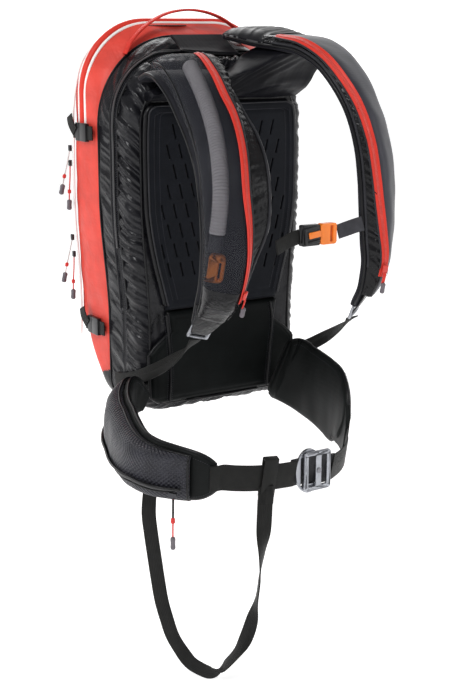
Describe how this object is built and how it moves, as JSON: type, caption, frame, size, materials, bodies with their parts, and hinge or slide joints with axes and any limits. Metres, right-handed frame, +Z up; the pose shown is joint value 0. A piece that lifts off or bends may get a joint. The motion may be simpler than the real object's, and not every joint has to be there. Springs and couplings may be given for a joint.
{
  "type": "avalanche airbag backpack",
  "caption": "Ski-touring pack with a roll-top airbag unit, hollow red and black shells, padded harness, trigger handle, hooked hip belt and hanging leg strap.",
  "frame": {"origin": "centre of the lumbar pad's flat face, at hip-belt height", "axes": "+X to the wearer's left, -Y out of the harness towards the wearer, +Z up along the back"},
  "size_m": [0.4204, 0.5026, 0.8844],
  "materials": {
    "black_fabric": "coated ripstop nylon, soft sheen",
    "red_fabric": "coated nylon, slight sheen",
    "pad_foam": "moulded foam under brushed knit",
    "red_mesh": "open red mesh",
    "lumbar_fabric": "smooth abrasion cloth",
    "frame_plastic": "pressed sheet",
    "stay_aluminium": "mill finish",
    "flap_fabric": "coated cloth",
    "red_webbing": "woven tape",
    "strap_fabric": "brushed stretch knit",
    "pocket_mesh": "fine translucent mesh",
    "pocket_mesh_left": "fine mesh over black lining",
    "red_zip_tape": "water-resistant zip tape",
    "red_slider": "painted slider with tape pull",
    "hose_rubber": "corrugated hose",
    "sleeve_rubber": "matt",
    "orange_handle": "moulded grip",
    "polished_aluminium": "tumbled and satin polished",
    "black_webbing": "woven nylon webbing",
    "grey_webbing": "woven nylon webbing",
    "black_plastic": "moulded acetal",
    "orange_plastic": "moulded acetal",
    "wing_fabric": "coated nylon over foam",
    "ripstop_fabric": "diamond ripstop nylon",
    "slider_metal": "black oxide zip slider",
    "rivet_metal": "peened rivet",
    "black_zip_tape": "coil zip with piping",
    "white_zip_tape": "white piping and coil zip",
    "cord_pull": "cord with moulded grip",
    "airbag_fabric": "coated nylon, folded",
    "motor_metal": "turned",
    "impeller_plastic": "moulded glass-filled nylon",
    "unit_plastic": "moulded ABS",
    "green_plastic": "moulded button",
    "cable_sheath": "sheathed cable",
    "red_plastic": "moulded lever"
  },
  "bodies": {
    "pack": {"rear_shell": "black_fabric", "front_shell": "red_fabric", "back_pad": "pad_foam", "pad_mesh": "red_mesh", "lumbar_pad": "lumbar_fabric", "yoke_pad": "black_fabric", "frame_sheet": "frame_plastic", "frame_stays": "stay_aluminium", "control_flap": "flap_fabric", "shoulder_pad_right": "strap_fabric", "shoulder_pad_left": "strap_fabric", "trigger_pocket": "pocket_mesh", "strap_pocket_left": "pocket_mesh_left", "strap_zip_right": "red_zip_tape", "strap_zip_left": "red_zip_tape", "trigger_hose": "hose_rubber", "trigger_sleeve": "sleeve_rubber", "strap_buckle_right": "polished_aluminium", "strap_buckle_left": "polished_aluminium", "strap_webbing_right": "black_webbing", "strap_webbing_left": "black_webbing", "compression_webbing": "black_webbing", "compression_males": "black_plastic", "compression_females": "black_plastic", "main_zip": "black_zip_tape", "front_zip": "white_zip_tape", "airbag_bundle": "airbag_fabric", "outlet_neck": "sleeve_rubber", "fan_housing": "black_plastic", "fan_motor": "motor_metal", "power_pack": "unit_plastic", "battery_case": "unit_plastic", "trigger_cable": "cable_sheath"},
    "haul": {"haul_loop": "red_webbing"},
    "trigger": {"trigger_handle": "orange_handle"},
    "lever": {"switch_lever": "red_plastic"},
    "chest": {"chest_webbing_right": "black_webbing", "chest_webbing_left": "grey_webbing", "chest_buckle_female": "black_plastic", "chest_buckle_male": "orange_plastic"},
    "hip_right": {"hip_wing_right": "wing_fabric", "hip_pocket": "ripstop_fabric", "belt_webbing_right": "black_webbing", "buckle_ring": "polished_aluminium", "leg_strap": "black_webbing", "leg_strap_loop": "black_webbing"},
    "hip_left": {"hip_wing_left": "wing_fabric", "belt_webbing_left": "black_webbing", "buckle_hook": "polished_aluminium", "buckle_rivet": "rivet_metal"},
    "hip_slider": {"hip_zip_slider": "slider_metal"},
    "strap_slider_r": {"strap_slider_right": "red_slider"},
    "strap_slider_l": {"strap_slider_left": "red_slider"},
    "main_slider": {"main_zip_slider": "slider_metal"},
    "front_pull_1": {"front_zip_pull_1": "cord_pull"},
    "front_pull_2": {"front_zip_pull_2": "cord_pull"},
    "front_pull_3": {"front_zip_pull_3": "cord_pull"},
    "front_pull_4": {"front_zip_pull_4": "cord_pull"},
    "impeller": {"fan_impeller": "impeller_plastic"},
    "button": {"power_button": "green_plastic"}
  },
  "joints": [
    {"name": "haul_loop_swing", "type": "hinge", "parent": "pack", "child": "haul", "pos_m": [0, 0.09, 0.428], "axis": [1, 0, 0], "range_deg": [-3, 20]},
    {"name": "trigger_pull", "type": "slide", "parent": "pack", "child": "trigger", "axis": [0.005, 0.2651, -0.9642], "range_m": [0, 0.01], "stiffness_N_per_m": 300},
    {"name": "switch_lever_turn", "type": "hinge", "parent": "pack", "child": "lever", "pos_m": [-0.081, 0.046, 0.236], "axis": [1, 0, 0], "range_deg": [0, 35]},
    {"name": "chest_strap_height", "type": "slide", "parent": "pack", "child": "chest", "axis": [0, 0, 1], "range_m": [-0.02, 0.02]},
    {"name": "hip_right_swing", "type": "hinge", "parent": "pack", "child": "hip_right", "pos_m": [-0.135, 0.002, 0], "axis": [0, 0, -1], "range_deg": [0, 14]},
    {"name": "hip_left_swing", "type": "hinge", "parent": "pack", "child": "hip_left", "pos_m": [0.09, -0.018, 0], "axis": [0, 0, 1], "range_deg": [0, 10]},
    {"name": "hip_zip_slide", "type": "slide", "parent": "hip_right", "child": "hip_slider", "axis": [-0.5896, 0.8045, 0.072], "range_m": [0, 0.04]},
    {"name": "strap_zip_right_slide", "type": "slide", "parent": "pack", "child": "strap_slider_r", "axis": [-0.018, -0.3969, 0.9177], "range_m": [0, 0.02]},
    {"name": "strap_zip_left_slide", "type": "slide", "parent": "pack", "child": "strap_slider_l", "axis": [0, -0.072, 0.9974], "range_m": [0, 0.02]},
    {"name": "main_zip_slide", "type": "slide", "parent": "pack", "child": "main_slider", "axis": [0, 0, 1], "range_m": [0, 0.06]},
    {"name": "front_zip_slide_1", "type": "slide", "parent": "pack", "child": "front_pull_1", "axis": [0, -0.0499, 0.9988], "range_m": [0, 0.04]},
    {"name": "front_zip_slide_2", "type": "slide", "parent": "pack", "child": "front_pull_2", "axis": [0, 0.0549, -0.9985], "range_m": [0, 0.015]},
    {"name": "front_zip_slide_3", "type": "slide", "parent": "pack", "child": "front_pull_3", "axis": [0, -0.0549, 0.9985], "range_m": [0, 0.02]},
    {"name": "front_zip_slide_4", "type": "slide", "parent": "pack", "child": "front_pull_4", "axis": [0.0697, 0.0597, -0.9958], "range_m": [0, 0.03]},
    {"name": "fan_spin", "type": "hinge", "parent": "pack", "child": "impeller", "pos_m": [0, 0.054, 0.345], "axis": [0, 1, 0], "continuous": true},
    {"name": "power_button_press", "type": "slide", "parent": "pack", "child": "button", "axis": [0, 0, -1], "range_m": [0, 0.002], "stiffness_N_per_m": 300}
  ],
  "couplings": [
    {"joint": "switch_lever_turn", "follows": "trigger_pull", "rad_per_m": 60},
    {"joint": "hip_left_swing", "follows": "hip_right_swing", "ratio": 0.7}
  ]
}
